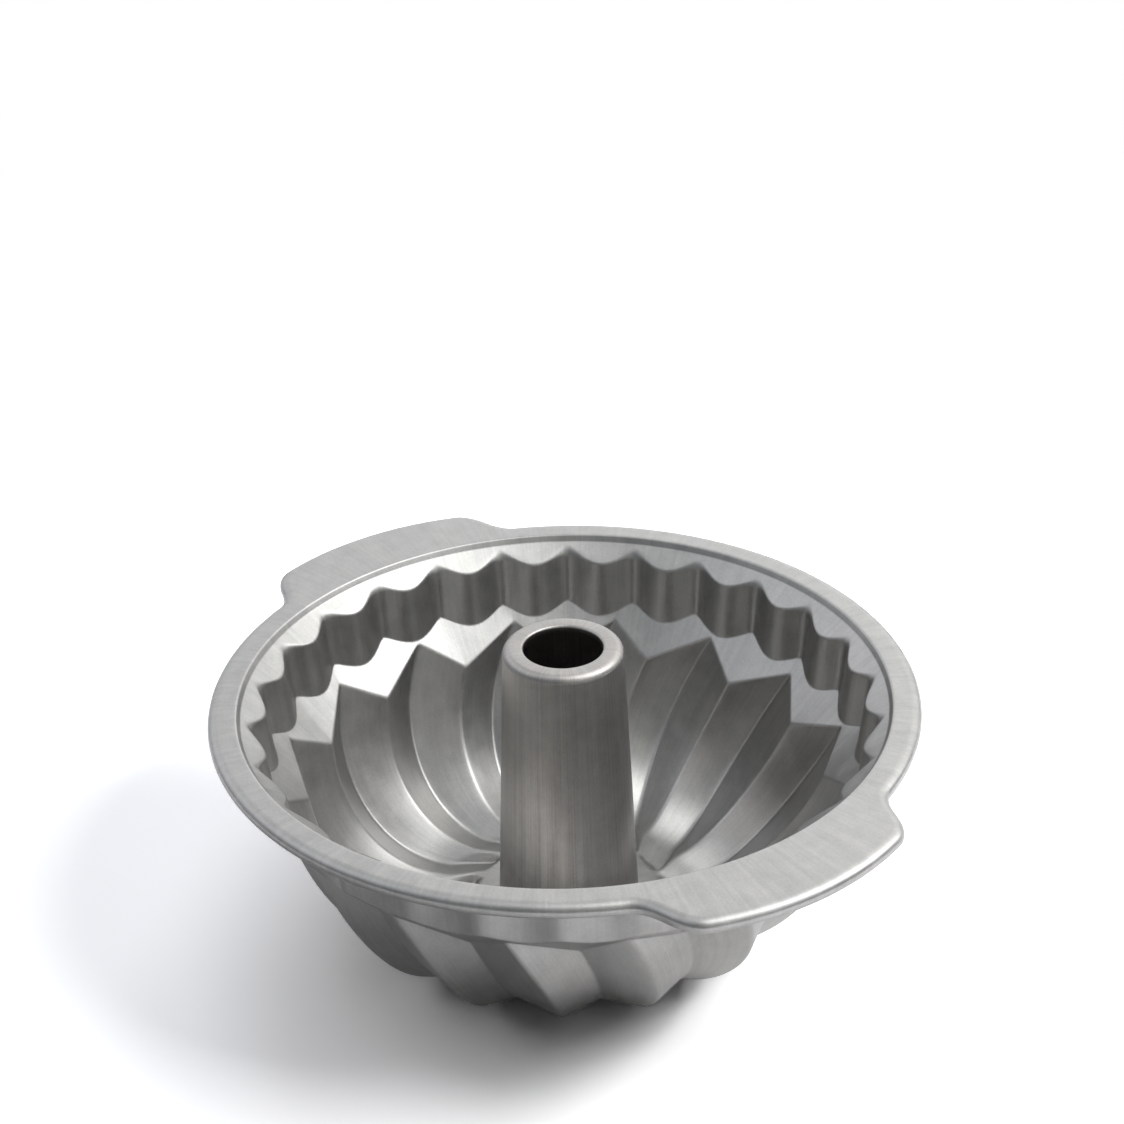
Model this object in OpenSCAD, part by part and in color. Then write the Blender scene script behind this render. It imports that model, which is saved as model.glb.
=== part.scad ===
// Fluted tube pan: a pressed steel pan with a scalloped wall above swirled flutes,
// a tapered tube through its middle and a steel wire rolled into its rim.
// Millimetres, +Z up. The origin is on the table, under the middle of the tube.
// The two handle tabs lie along X.

/* [Overall] */
// Radius of the flange's inner edge, where the pan starts to drop
mouth_r = 115; // [95:1:140]
// Height of the flange's top above the table
rim_h = 93.5; // [84:0.5:120]
// Thickness of the pressed sheet
sheet_t = 0.8; // [0.6:0.1:1]

/* [Flange and rolled edge] */
// Width of the flange, from its inner edge to the outside of the rolled edge
flange_w = 10; // [8:0.5:16]
// Outside diameter of the rolled edge
bead_d = 5.5; // [3.8:0.1:6]
// Space left between the wire and the sheet rolled round it
wire_gap = 0.15; // [0.1:0.01:0.2]
// Rounding of the flange's inner edge
edge_round = 1.2; // [0.6:0.1:1.6]

/* [Handle tabs] */
// How far a tab stands out past the round rim
tab_reach = 17.4; // [8:0.2:26]
// Radius of a tab's outer edge
tab_edge_r = 108; // [85:1:125]
// Angle from a tab's middle to where its flank leaves the round rim
tab_root_a = 25.3; // [22:0.5:32]
// Angle from a tab's middle to where its flank meets its outer edge
tab_tip_a = 15.7; // [9:0.5:17]

/* [Step and upper ledge] */
// Drop of the small step inside the flange
step_drop = 2.3; // [1.8:0.1:4]
// How far the small step leans inwards
step_lean = 1.2; // [0.6:0.1:2]
// Slope of the ledge above the scalloped wall
upper_slope_a = 36.5; // [20:0.5:45]
// Width of the upper ledge at a crease of the wall
upper_ledge_w = 3.5; // [2:0.1:6]

/* [Scalloped wall] */
// Number of scallops round the wall
scallops = 26; // [16:2:32]
// How far a scallop bulges into the pan
scallop_depth = 4.3; // [2:0.1:6]
// Softness of the crease between scallops at the wall's top, 0 is sharp
crease_soft_top = 0.5; // [0.05:0.01:0.8]
// Softness of the same crease at the wall's foot
crease_soft_foot = 0.1; // [0.05:0.01:0.4]
// Height of the wall at a crease
wall_h = 20.7; // [12:0.5:28]
// How far the wall leans inwards from top to bottom
wall_lean = 2.4; // [0.5:0.1:4]

/* [Flutes] */
// Number of swirled flutes
flutes = 16; // [12:1:20]
// Slope of the ledge under the scalloped wall
lower_slope_a = 45.5; // [35:0.5:50]
// Width of the lower ledge at the top of a groove
groove_ledge_w = 5.5; // [4.8:0.1:7]
// Width of the lower ledge at the top of a rib
rib_ledge_w = 15.2; // [10:0.2:19]
// Place of a rib between two grooves, as a share of the flute's pitch
rib_place = 0.6; // [0.4:0.01:0.7]
// Roundness of the bowl from wall to floor, 2 is an ellipse
bowl_round = 2.07; // [1.6:0.01:2.4]
// Share of a straight cone in the bowl's wall, which slopes it at its top
bowl_draft = 0.2; // [0:0.01:0.5]
// Length of a groove's level floor
groove_floor_w = 13.7; // [8:0.1:20]
// Length of a rib's level floor
rib_floor_w = 9; // [5:0.1:16]
// Width of the land along a groove, on which the pan stands
groove_land = 1.6; // [1:0.1:2]
// Width of the land along a rib
rib_land = 1.4; // [1.2:0.1:2]
// Turn of a groove as it leaves the ledge, in degrees
groove_swirl = 42.1; // [20:0.1:50]
// Turn of a groove back again by the time it reaches the foot, in degrees
groove_return = 48.9; // [20:0.1:55]
// Turn of a rib as it leaves the ledge, in degrees
rib_swirl = 26.7; // [15:0.1:40]
// Turn of a rib back again by the time it reaches the foot, in degrees
rib_return = 29.5; // [15:0.1:45]

/* [Foot of the tube] */
// Height of the flat ring round the tube, above a groove's floor
foot_rise = 3.4; // [3:0.1:6]
// Outer radius of the flat ring round the tube
foot_ring_r = 34.5; // [32:0.5:40]
// Run of the short slope from a groove's floor up to the flat ring
foot_run = 3.2; // [2:0.1:5]
// Length of the collar that the sheet turns down round the tube
collar_h = 2.4; // [2:0.1:2.6]
// Space between the tube and the sheet it is locked into
seam_gap = 0.2; // [0.15:0.01:0.3]

/* [Tube] */
// Height of the tube's lip above the flange's top
tube_rise = 18; // [4:0.5:40]
// Outer radius of the tube at its foot
tube_foot_r = 25.8; // [20:0.2:27]
// Outer radius of the tube under its lip
tube_top_r = 21.4; // [18.6:0.2:24]
// Radius of the hole in the lip
tube_bore_r = 14; // [10:0.5:15]
// Rounding of the lip's outer edge
lip_round = 3; // [2:0.1:3.2]
// Rounding of the lip's inner edge
neck_round = 1; // [0.9:0.1:2.4]
// Length of the straight edge turned down inside the lip
neck_h = 1; // [0.6:0.1:8]

/* [Hidden] */
$fn = 96;

// Columns of points per scallop, and per tab flank, tab edge and open rim
SCALLOP_COLS = 8;
FLANK_COLS = 8;
EDGE_COLS = 8;
OPEN_COLS = 36;
// Steps round the bowl's curve, along its level floor, and in the rolled edge
BOWL_STEPS = 9;
FLOOR_STEPS = 3;
CURL_STEP_A = 45;
CURL_STEPS = 6;
// Share of a flute's length that lies on the bowl's curve
CURVE_SHARE = 0.72;
WIRE_SIDES = 8;

bead_r = bead_d / 2;
rim_r = mouth_r + flange_w;
tab_offset = rim_r + tab_reach - tab_edge_r;
wire_r = bead_r * cos(CURL_STEP_A / 2) - sheet_t - wire_gap;

step_r = mouth_r - step_lean;
step_z = rim_h - step_drop;
edge_foot_r = mouth_r - step_lean * edge_round / step_drop;
wall_top_r = step_r - upper_ledge_w;
wall_foot_r = wall_top_r - wall_lean;
wall_foot_z = step_z - upper_ledge_w * tan(upper_slope_a) - wall_h;
groove_top_r = wall_foot_r - groove_ledge_w;
rib_top_r = wall_foot_r - rib_ledge_w;

groove_z = sheet_t;
foot_z = groove_z + foot_rise;
groove_end_r = foot_ring_r + foot_run;
collar_r = tube_foot_r + seam_gap;
collar_z = foot_z - collar_h;
pitch_a = 360 / flutes;
scallop_cols = scallops * SCALLOP_COLS;
flute_cols = flutes * 4;
rim_cols = 2 * (2 * FLANK_COLS + EDGE_COLS + OPEN_COLS);

// Small vector helpers
function unit(v) = v / norm(v);
function at(r, a, z) = [r * cos(a), r * sin(a), z];
function ease(x) = x < 0.5 ? 2 * x * x : 1 - 2 * (1 - x) * (1 - x);

// Height on the upper and lower ledges, both of them cones
function upper_ledge_z(r) = step_z - (step_r - r) * tan(upper_slope_a);
function lower_ledge_z(r) = wall_foot_z - (wall_foot_r - r) * tan(lower_slope_a);

// The scallops' bulge, from 0 in a crease to 1 in the middle of a scallop
function bulge(a, s) = let (c = cos(a * scallops / 2))
    (sqrt(c * c + s * s) - s) / (sqrt(1 + s * s) - s);
function scallop_r(a, r, soft) = r - scallop_depth * bulge(a, soft);

// One flute, s from 0 at the ledge to 1 at the foot: radius and height of a crease
function flute_point(s, top_r, turn_r, end_r, floor_z) =
    let (top_z = lower_ledge_z(top_r), p = 90 * min(1, s / CURVE_SHARE), e = 2 / bowl_round,
         fallen = pow(sin(p), e), out = (1 - bowl_draft) * pow(cos(p), e) + bowl_draft * (1 - fallen))
    s < CURVE_SHARE
        ? [turn_r + (top_r - turn_r) * out, top_z - (top_z - floor_z) * fallen]
        : [turn_r + (end_r - turn_r) * (s - CURVE_SHARE) / (1 - CURVE_SHARE), floor_z];
function groove_point(s) =
    flute_point(s, groove_top_r, groove_end_r + groove_floor_w, groove_end_r, groove_z);
function rib_point(s) =
    flute_point(s, rib_top_r, foot_ring_r + rib_floor_w + foot_run, groove_end_r, foot_z);
function groove_turn(s) = (groove_swirl - groove_return * s) * s;
function rib_turn(s) = (rib_swirl - rib_return * s) * s;
// Angle of half a land at a radius
function land_a(w, r) = asin(w / 2 / r);

// A row of the flutes: for each flute the land of its groove and the land of its rib
function flute_row(s) = [for (k = [0 : flutes - 1])
    let (g = groove_point(s), b = rib_point(s),
         ga = k * pitch_a + groove_turn(s), ba = (k + rib_place) * pitch_a + rib_turn(s),
         gl = land_a(groove_land, g[0]), bl = land_a(rib_land, b[0]))
    each [at(g[0], ga + gl, g[1]), at(b[0], ba - bl, b[1]),
          at(b[0], ba + bl, b[1]), at(g[0], ga + pitch_a - gl, g[1])]];
// A round row beside the flutes, with the columns of their foot or spaced evenly
function ring_row(r, z) = [for (p = flute_row(1)) at(r, atan2(p[1], p[0]), z)];
function even_row(r, z) = [for (i = [0 : flute_cols - 1])
    at(r, (i + 0.5) * 360 / flute_cols + groove_turn(1) / 2 + rib_turn(1) / 2, z)];

// Rows of the scalloped wall
scallop_a = [for (i = [0 : scallop_cols - 1]) i * 360 / scallop_cols];
function wall_foot_row() = [for (a = scallop_a)
    let (r = scallop_r(a, wall_foot_r, crease_soft_foot)) at(r, a, lower_ledge_z(r))];
function wall_top_row() = [for (a = scallop_a)
    let (r = scallop_r(a, wall_top_r, crease_soft_top)) at(r, a, upper_ledge_z(r))];

// Angles of the rim's columns, close together where a tab's flanks curve
function span(a, b, n) = [for (i = [0 : n - 1]) a + (b - a) * i / n];
rim_a = [for (side = [0, 180]) each concat(
    span(side, side + tab_tip_a, EDGE_COLS / 2),
    span(side + tab_tip_a, side + tab_root_a, FLANK_COLS),
    span(side + tab_root_a, side + 180 - tab_root_a, OPEN_COLS),
    span(side + 180 - tab_root_a, side + 180 - tab_tip_a, FLANK_COLS),
    span(side + 180 - tab_tip_a, side + 180, EDGE_COLS / 2))];
function from_tab(a) = abs(a - 180 * round(a / 180));
// Outline of the rim over its rolled edge: a circle with two tabs
function tab_r(a) = tab_offset * cos(a) + sqrt(pow(tab_edge_r, 2) - pow(tab_offset * sin(a), 2));
function outline_r(a) = let (f = from_tab(a),
        t = ease(max(0, min(1, (tab_root_a - f) / (tab_root_a - tab_tip_a)))))
    rim_r + (tab_r(min(f, tab_root_a)) - rim_r) * t;
function outline_at(a) = at(outline_r(a), a, 0);
function outline_normal(a) = let (d = outline_at(a + 0.5) - outline_at(a - 0.5)) unit([d[1], -d[0], 0]);
// Centre line of the rolled edge, and a point round it at angle b
function bead_centre(a) = outline_at(a) - bead_r * outline_normal(a) + [0, 0, rim_h - bead_r];
function bead_point(a, r, b) = bead_centre(a) + r * (cos(b) * outline_normal(a) + [0, 0, sin(b)]);
function rim_circle(r, z) = [for (a = rim_a) at(r, a, z)];

// The sheet's upper side as rows of points, from the collar out to the rolled edge
flute_s = concat([for (i = [0 : FLOOR_STEPS - 1]) 1 - (1 - CURVE_SHARE) * i / FLOOR_STEPS],
                 [for (i = [0 : BOWL_STEPS]) CURVE_SHARE * (1 - i / BOWL_STEPS)]);
flute_rows = concat([even_row(collar_r, collar_z), even_row(collar_r, foot_z),
                     ring_row(foot_ring_r, foot_z)], [for (s = flute_s) flute_row(s)]);
wall_rows = [wall_foot_row(), wall_top_row()];
rim_rows = concat(
    [rim_circle(step_r, step_z), rim_circle(edge_foot_r, rim_h - edge_round),
     rim_circle(mouth_r + edge_round, rim_h)],
    [for (i = [0 : CURL_STEPS]) [for (a = rim_a) bead_point(a, bead_r, 90 - i * CURL_STEP_A)]]);

// The under side lies one sheet thickness away along the surface's normal.
// before and after are the ways the sheet runs into and out of the row there.
function under_point(row, i, before, after) =
    let (n = len(row), a = unit(row[i] - row[(i + n - 1) % n]), b = unit(row[(i + 1) % n] - row[i]),
         t = unit(a + b), n1 = unit(cross(t, before)), n2 = unit(cross(t, after)),
         m = unit(n1 + n2))
    row[i] + sheet_t * m / (max(0.6, m * n1) * max(0.8, t * a));
function outwards(p, slope_a) = unit([p[0], p[1], 0]) + [0, 0, tan(slope_a)];
// Rows of one zone, with the slope of the ledge it starts or ends on, if any
function under_rows(rows, first_a, last_a) = [for (j = [0 : len(rows) - 1])
    [for (i = [0 : len(rows[j]) - 1]) let (
        p = rows[j][i],
        into = j > 0 ? p - rows[j - 1][i] : is_undef(first_a) ? rows[1][i] - p : outwards(p, first_a),
        out = j < len(rows) - 1 ? rows[j + 1][i] - p : is_undef(last_a) ? into : outwards(p, last_a))
    under_point(rows[j], i, into, out)]];
// Lands that the pan stands on are level with the table
function on_table(rows) = [for (j = [0 : len(rows) - 1])
    let (stands = j >= 3 && j <= 3 + FLOOR_STEPS)
    [for (i = [0 : len(rows[j]) - 1]) let (p = rows[j][i], groove = i % 4 == 0 || i % 4 == 3)
        stands && groove ? [p[0], p[1], 0] : p]];

upper_rows = concat(flute_rows, wall_rows, rim_rows);
lower_rows = concat(on_table(under_rows(flute_rows, undef, lower_slope_a)),
                    under_rows(wall_rows, lower_slope_a, upper_slope_a),
                    under_rows(rim_rows, upper_slope_a, undef));

// Number of the first point of each row
function starts(rows, j = 0, n = 0) =
    j > len(rows) ? [] : concat([n], starts(rows, j + 1, n + (j < len(rows) ? len(rows[j]) : 0)));
// Two triangles for each column between rows of equal length
function strip(a, b, n) = [for (i = [0 : n - 1]) let (k = (i + 1) % n)
    each [[a + i, a + k, b + k], [a + i, b + k, b + i]]];
// A strip between rows of unlike length, joined in the order of their columns' middles
function angles(row) = [for (p = row) let (a = atan2(p[1], p[0])) a < 0 ? a + 360 : a];
function middles(a) = [for (i = [0 : len(a) - 1])
    (a[i] + (i < len(a) - 1 ? a[i + 1] : a[0] + 360)) / 2];
function passed(list, x) = len([for (m = list) if (m < x) 1]);
function zip(rows, j, start) = let (n = len(rows[j]), m = len(rows[j + 1]), tie = 1e-6,
        p = middles(angles(rows[j])), q = middles(angles(rows[j + 1])), a = start[j], b = start[j + 1])
    concat([for (i = [0 : n - 1]) [a + i, a + (i + 1) % n, b + passed(q, p[i] - tie) % m]],
           [for (k = [0 : m - 1]) [a + passed(p, q[k] + tie) % n, b + (k + 1) % m, b + k]]);
function skin(rows) = let (start = starts(rows))
    [for (j = [0 : len(rows) - 2])
        each len(rows[j]) == len(rows[j + 1]) ? strip(start[j], start[j + 1], len(rows[j]))
                                              : zip(rows, j, start)];
function flip(faces, by) = [for (f = faces) [f[2] + by, f[1] + by, f[0] + by]];
function points(rows) = [for (row = rows) each row];

// The pressed sheet: bowl, ledges, scalloped wall, flange, tabs and rolled edge
module pan_body() {
    faces = skin(upper_rows);
    total = len(points(upper_rows));
    last = total - rim_cols;
    color("silver") polyhedron(
        points = concat(points(upper_rows), points(lower_rows)),
        faces = concat(faces, flip(faces, total),
                       strip(total, 0, flute_cols), strip(last, total + last, rim_cols)),
        convexity = 12);
}

// The wire inside the rolled edge, following the rim and both tabs
module rim_wire() {
    rings = [for (i = [0 : WIRE_SIDES - 1])
        [for (a = rim_a) bead_point(a, wire_r, (i + 0.5) * 360 / WIRE_SIDES)]];
    color("dimgray") polyhedron(
        points = points(rings),
        faces = [for (i = [0 : WIRE_SIDES - 1])
            each strip(i * rim_cols, (i + 1) % WIRE_SIDES * rim_cols, rim_cols)],
        convexity = 12);
}

function arc(c, r, a0, a1, n) = [for (i = [0 : n])
    let (a = a0 + (a1 - a0) * i / n) c + r * [cos(a), sin(a)]];

// The tube: a tapered chimney whose lip turns in and down, locked under the pan's collar
module centre_tube() {
    lip_z = rim_h + tube_rise;
    fold_z = collar_z - seam_gap;
    hem_r = collar_r + sheet_t + seam_gap;
    outer = [tube_top_r - lip_round, lip_z - lip_round];
    inner = [tube_bore_r + neck_round, lip_z - neck_round];
    neck_z = inner[1] - neck_h;
    color("gray") rotate_extrude() polygon(concat(
        [[tube_foot_r, fold_z], [tube_foot_r, foot_z]],
        arc(outer, lip_round, 0, 90, 6),
        arc(inner, neck_round, 90, 180, 6),
        [[tube_bore_r, neck_z], [tube_bore_r + sheet_t, neck_z]],
        arc(inner, neck_round - sheet_t, 180, 90, 6),
        arc(outer, lip_round - sheet_t, 90, 0, 6),
        [[tube_foot_r - sheet_t, foot_z], [tube_foot_r - sheet_t, fold_z - sheet_t],
         [hem_r + sheet_t, fold_z - sheet_t], [hem_r + sheet_t, foot_z - sheet_t - seam_gap],
         [hem_r, foot_z - sheet_t - seam_gap], [hem_r, fold_z]]));
}

pan_body();
centre_tube();
rim_wire();
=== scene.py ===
# %% [markdown]
# # A fluted tube pan
#
# The pan is pressed from one sheet of steel, with a tube locked into its middle and a wire
# rolled into its edge. The measured solids come first, as the frame. The script then draws the
# same three pieces finer, with the small roundings that a press leaves, and gives the sheet and
# the tube a satin non-stick coating. The pieces' sizes are in millimetres, and become metres
# when a mesh is made.

import math

import bmesh
import bpy
import numpy as np
from mathutils import Matrix, Vector


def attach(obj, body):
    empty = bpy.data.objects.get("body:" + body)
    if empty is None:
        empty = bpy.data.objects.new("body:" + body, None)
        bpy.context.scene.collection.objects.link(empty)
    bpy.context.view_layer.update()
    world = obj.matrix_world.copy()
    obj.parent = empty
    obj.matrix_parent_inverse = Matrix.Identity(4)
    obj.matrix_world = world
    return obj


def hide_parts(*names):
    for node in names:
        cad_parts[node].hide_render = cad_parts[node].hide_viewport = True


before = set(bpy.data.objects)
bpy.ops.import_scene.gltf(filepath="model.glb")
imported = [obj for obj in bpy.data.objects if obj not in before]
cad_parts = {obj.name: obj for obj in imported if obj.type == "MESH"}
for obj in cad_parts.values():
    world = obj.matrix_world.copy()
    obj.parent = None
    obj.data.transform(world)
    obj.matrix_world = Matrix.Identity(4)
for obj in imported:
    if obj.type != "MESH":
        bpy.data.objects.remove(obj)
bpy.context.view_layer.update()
MM = 0.001
print("solids in the frame:", sorted(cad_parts))

# %% [markdown]
# ## The pressed sheet, ring by ring
#
# A pan like this is drawn over a die, so every line that runs round it is a ring. We could cut
# the flutes out of a bowl, or bend 16 strips. A press works on one sheet, so we do too: the
# sheet is a list of rings, each with the same number of points, from the tube's foot out to the
# rolled edge. 16 flutes and 26 scallops both divide 416, so each gets whole columns.

# %% Sizes of the sheet, and the ring helper
COLUMNS = 416
SHEET = 0.8
RIM_Z = 93.5
MOUTH_R = 115.0
RIM_R = 125.0
COLUMN_A = 2 * math.pi * np.arange(COLUMNS) / COLUMNS


def ring(radius, angle, height):
    """One ring of points from radii, angles and heights, any of which may be one number."""
    parts = np.broadcast_arrays(radius, angle, height)
    return np.stack([parts[0] * np.cos(parts[1]), parts[0] * np.sin(parts[1]), parts[2]], axis=-1)


def between(inner, outer, steps):
    """Rings evenly spread between two others, turning as they go so that they stay round."""
    rows = []
    for t in np.linspace(0, 1, steps + 2)[1:-1]:
        r = [np.hypot(p[:, 0], p[:, 1]) for p in (inner, outer)]
        a = [np.arctan2(p[:, 1], p[:, 0]) for p in (inner, outer)]
        turn = (a[1] - a[0] + math.pi) % (2 * math.pi) - math.pi
        height = inner[:, 2] + (outer[:, 2] - inner[:, 2]) * t
        rows.append(ring(r[0] + (r[1] - r[0]) * t, a[0] + turn * t, height))
    return rows


print("columns per flute and per scallop:", COLUMNS // 16, COLUMNS // 26)

# %% [markdown]
# ## The swirled flutes
#
# Each flute is a wide facet and a narrow one, with a groove on one side and a rib on the other.
# Both creases start on a sloping ledge, run down a rounded bowl and end at the ring round the
# tube. On the way they lean over and come back, which is the swirl. A crease in pressed steel
# is never sharp, so each corner between facets is cut short and bent with a small curve.

# %% The two creases of a flute
FLUTES = 16
CURVE_SHARE = 0.72
BOWL_ROUND = 2.07
BOWL_DRAFT = 0.2
GROOVE_TOP_R, GROOVE_TURN_R = 102.4, 51.4
RIB_TOP_R, RIB_TURN_R = 92.7, 46.7
FOOT_R = 37.7
BOTTOM_Z = SHEET + 0.005
FOOT_Z = SHEET + 3.4
LEDGE_FOOT_R = 107.9
LEDGE_SLOPE = math.tan(math.radians(45.5))
WALL_FOOT_Z = 67.903


def ledge_z(radius):
    """Height of the ledge that the flutes start on."""
    return WALL_FOOT_Z - (LEDGE_FOOT_R - radius) * LEDGE_SLOPE


def crease(s, top_r, turn_r, floor_z):
    """Radius and height of a crease at s, which runs from 0 at the ledge to 1 at the foot."""
    if s >= CURVE_SHARE:
        t = (s - CURVE_SHARE) / (1 - CURVE_SHARE)
        return turn_r + (FOOT_R - turn_r) * t, floor_z
    p = math.pi / 2 * s / CURVE_SHARE
    fallen = math.sin(p) ** (2 / BOWL_ROUND)
    out = (1 - BOWL_DRAFT) * math.cos(p) ** (2 / BOWL_ROUND) + BOWL_DRAFT * (1 - fallen)
    top_z = ledge_z(top_r)
    return turn_r + (top_r - turn_r) * out, top_z - (top_z - floor_z) * fallen


def bend(before, corner, after, reach, points, share=0.45):
    """A corner rounded off by a curve that reaches so far, or a share of the way, to both sides."""
    to_before = before - corner
    to_after = after - corner
    length = [np.linalg.norm(v, axis=-1, keepdims=True) for v in (to_before, to_after)]
    cut = np.minimum(reach, share * np.minimum(*length))
    start = corner + to_before / length[0] * cut
    end = corner + to_after / length[1] * cut
    return [(1 - t) ** 2 * start + 2 * t * (1 - t) * corner + t * t * end
            for t in np.linspace(0, 1, points)]


for name, radii, floor_z in (("groove", (GROOVE_TOP_R, GROOVE_TURN_R), BOTTOM_Z),
                             ("rib", (RIB_TOP_R, RIB_TURN_R), FOOT_Z)):
    print(name, "halfway down, radius and height:", [round(x, 1) for x in crease(0.4, *radii, floor_z)])

# %% One ring through all the flutes
WIDE_COLUMNS = 7
NARROW_COLUMNS = 5
RIB_PLACE = 0.6
GROOVE_SWIRL = (42.1, 48.9)
RIB_SWIRL = (26.7, 29.5)
LAND_HALF = 0.5
LAND_GROWTH = 0.3
CREASE_REACH = 0.75


def facet(start, end, columns):
    """Straight steps across a facet, between the curves at its two sides."""
    return [start + (end - start) * t for t in np.linspace(0, 1, columns + 2)[1:-1]]


def flute_ring(s):
    """The ring at s: for each flute a groove, the wide facet, a rib and the narrow facet."""
    groove_r, groove_z = crease(s, GROOVE_TOP_R, GROOVE_TURN_R, BOTTOM_Z)
    rib_r, rib_z = crease(s, RIB_TOP_R, RIB_TURN_R, FOOT_Z)
    groove_a, rib_a = [math.radians((leave - back * s) * s) for leave, back in (GROOVE_SWIRL, RIB_SWIRL)]
    flat = LAND_HALF + LAND_GROWTH * np.clip((s - 0.5) / 0.2, 0, 1)
    pitch = 2 * math.pi / FLUTES
    turn = pitch * np.arange(FLUTES)
    groove_turn = turn + groove_a
    rib_turn = turn + RIB_PLACE * pitch + rib_a
    groove = ring(groove_r, groove_turn, groove_z)
    rib = ring(rib_r, rib_turn, rib_z)
    land = [ring(groove_r, groove_turn + side * flat / groove_r, groove_z) for side in (-1, 1)]
    crown = [ring(rib_r, rib_turn + side * flat / rib_r, rib_z) for side in (-1, 1)]
    next_groove = np.roll(groove, -1, axis=0)
    next_land = np.roll(land[0], -1, axis=0)
    corners = [(groove, land[1], crown[0]), (land[1], crown[0], rib), (rib, crown[1], next_land),
               (crown[1], next_land, next_groove)]
    bent = [bend(*corner, reach=CREASE_REACH, points=3, share=0.85) for corner in corners]
    wide = facet(bent[0][-1], bent[1][0], WIDE_COLUMNS)
    narrow = facet(bent[2][-1], bent[3][0], NARROW_COLUMNS)
    across = [groove] + bent[0] + wide + bent[1] + [rib] + bent[2] + narrow + bent[3]
    return np.stack(across, axis=1).reshape(COLUMNS, 3)


foot_s = np.linspace(1, CURVE_SHARE, 5)
bowl_s = CURVE_SHARE * (1 - np.linspace(0, 1, 27)[1:])
flute_rings = [flute_ring(s) for s in np.concatenate([foot_s, bowl_s])]
print("rings through the flutes:", len(flute_rings))

# %% [markdown]
# ## The scalloped wall
#
# Above the ledge the wall bulges inwards 26 times. The die is softer at the top of the wall
# than at its foot, so the crease between two scallops is sharp below and rounded above. One
# function gives the bulge, and a softness value rounds its tip.

# %% Rings of the wall, its ledges and the step
SCALLOPS = 26
SCALLOP_DEPTH = 4.3
FOOT_SOFT = 0.1
TOP_SOFT = 0.5
WALL_TOP_R = 110.3
STEP_R = 113.8
STEP_Z = 91.2
TOP_LEDGE_SLOPE = math.tan(math.radians(36.5))


def scallop_radius(angle, radius, softness):
    """Radius of the wall at each angle: least in the middle of a scallop."""
    side = np.abs(np.cos(angle * SCALLOPS / 2))
    bulge = (np.hypot(side, softness) - softness) / (math.hypot(1, softness) - softness)
    return radius - SCALLOP_DEPTH * bulge


def wall_ring(t):
    """The wall's ring at t, from 0 at its foot to 1 at its top."""
    foot = scallop_radius(COLUMN_A, LEDGE_FOOT_R, FOOT_SOFT)
    top = scallop_radius(COLUMN_A, WALL_TOP_R, TOP_SOFT)
    top_z = STEP_Z - (STEP_R - top) * TOP_LEDGE_SLOPE
    soft = FOOT_SOFT + (TOP_SOFT - FOOT_SOFT) * t
    radius = scallop_radius(COLUMN_A, LEDGE_FOOT_R + (WALL_TOP_R - LEDGE_FOOT_R) * t, soft)
    return ring(radius, COLUMN_A, ledge_z(foot) + (top_z - ledge_z(foot)) * t)


wall_rings = [wall_ring(t) for t in np.linspace(0, 1, 5)]
print("wall height in a crease:", round(float(np.ptp([r[8, 2] for r in wall_rings])), 1))

# %% [markdown]
# ## The rim, its tabs and the rolled edge
#
# The flange is flat and carries on into two tabs. Its edge is rolled outwards and down round a
# wire. The outline is a circle that swells into a larger arc at each tab. Rolling is done like
# the real thing: at every point of the outline, the edge turns three quarters of a circle about
# a centre line just inside the outline.

# %% Outline of the rim
TAB_REACH = 17.4
TAB_EDGE_R = 108.0
TAB_OFFSET = RIM_R + TAB_REACH - TAB_EDGE_R
TAB_TIP_A = math.radians(15.7)
TAB_ROOT_A = math.radians(25.3)
BEAD_R = 2.75
ROLL_EARLY = 0.7
EDGE_SPANS = ((0, 13, 15), (13, 27, 26), (27, 90, 63))


def outline_radius(angle):
    """Radius of the outline: the round rim, or the tab's edge, or its flank between them."""
    off = np.abs(angle - math.pi * np.round(angle / math.pi))
    x = np.clip((TAB_ROOT_A - off) / (TAB_ROOT_A - TAB_TIP_A), 0, 1)
    bow = np.where(x < 0.5, 2 * x**2, 1 - 2 * (1 - x) ** 2)
    off = np.minimum(off, TAB_ROOT_A)
    tab = TAB_OFFSET * np.cos(off) + np.sqrt(TAB_EDGE_R**2 - (TAB_OFFSET * np.sin(off)) ** 2)
    return RIM_R + (tab - RIM_R) * bow


def outline_normal(angle):
    """Outward direction, level with the flange, at each angle of the outline."""
    step = math.radians(0.5)
    ahead = ring(outline_radius(angle + step), angle + step, 0)
    behind = ring(outline_radius(angle - step), angle - step, 0)
    along = (ahead - behind) / np.linalg.norm(ahead - behind, axis=1, keepdims=True)
    return np.stack([along[:, 1], -along[:, 0], along[:, 2]], axis=1)


def edge_angles(spans):
    """Columns of the outline, from spans of a quarter turn: from and to in degrees, and steps."""
    steps = [np.linspace(start, end, count, endpoint=False) for start, end, count in spans]
    quarter = np.radians(np.concatenate(steps + [[90]]))
    half = np.concatenate([quarter, math.pi - quarter[-2:0:-1]])
    return np.concatenate([half, half + math.pi])


EDGE_A = edge_angles(EDGE_SPANS)
EDGE_OUT = outline_normal(EDGE_A)
print("columns of the edge:", len(EDGE_A), "widest radius:", round(float(outline_radius(EDGE_A).max()), 1))


# %% Roll the edge
def rolled(radius, turn, early=0):
    """A ring about the rolled edge's centre line, turn degrees round from straight out.

    The top of the roll can start early, which stretches its first quarter inwards.
    """
    centre = ring(outline_radius(EDGE_A), EDGE_A, RIM_Z - BEAD_R) - BEAD_R * EDGE_OUT
    turn = math.radians(turn)
    out = radius * math.cos(turn) - (early * (1 - math.cos(turn)) if turn > 0 else 0)
    return centre + out * EDGE_OUT + radius * math.sin(turn) * np.array([0, 0, 1])


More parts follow.
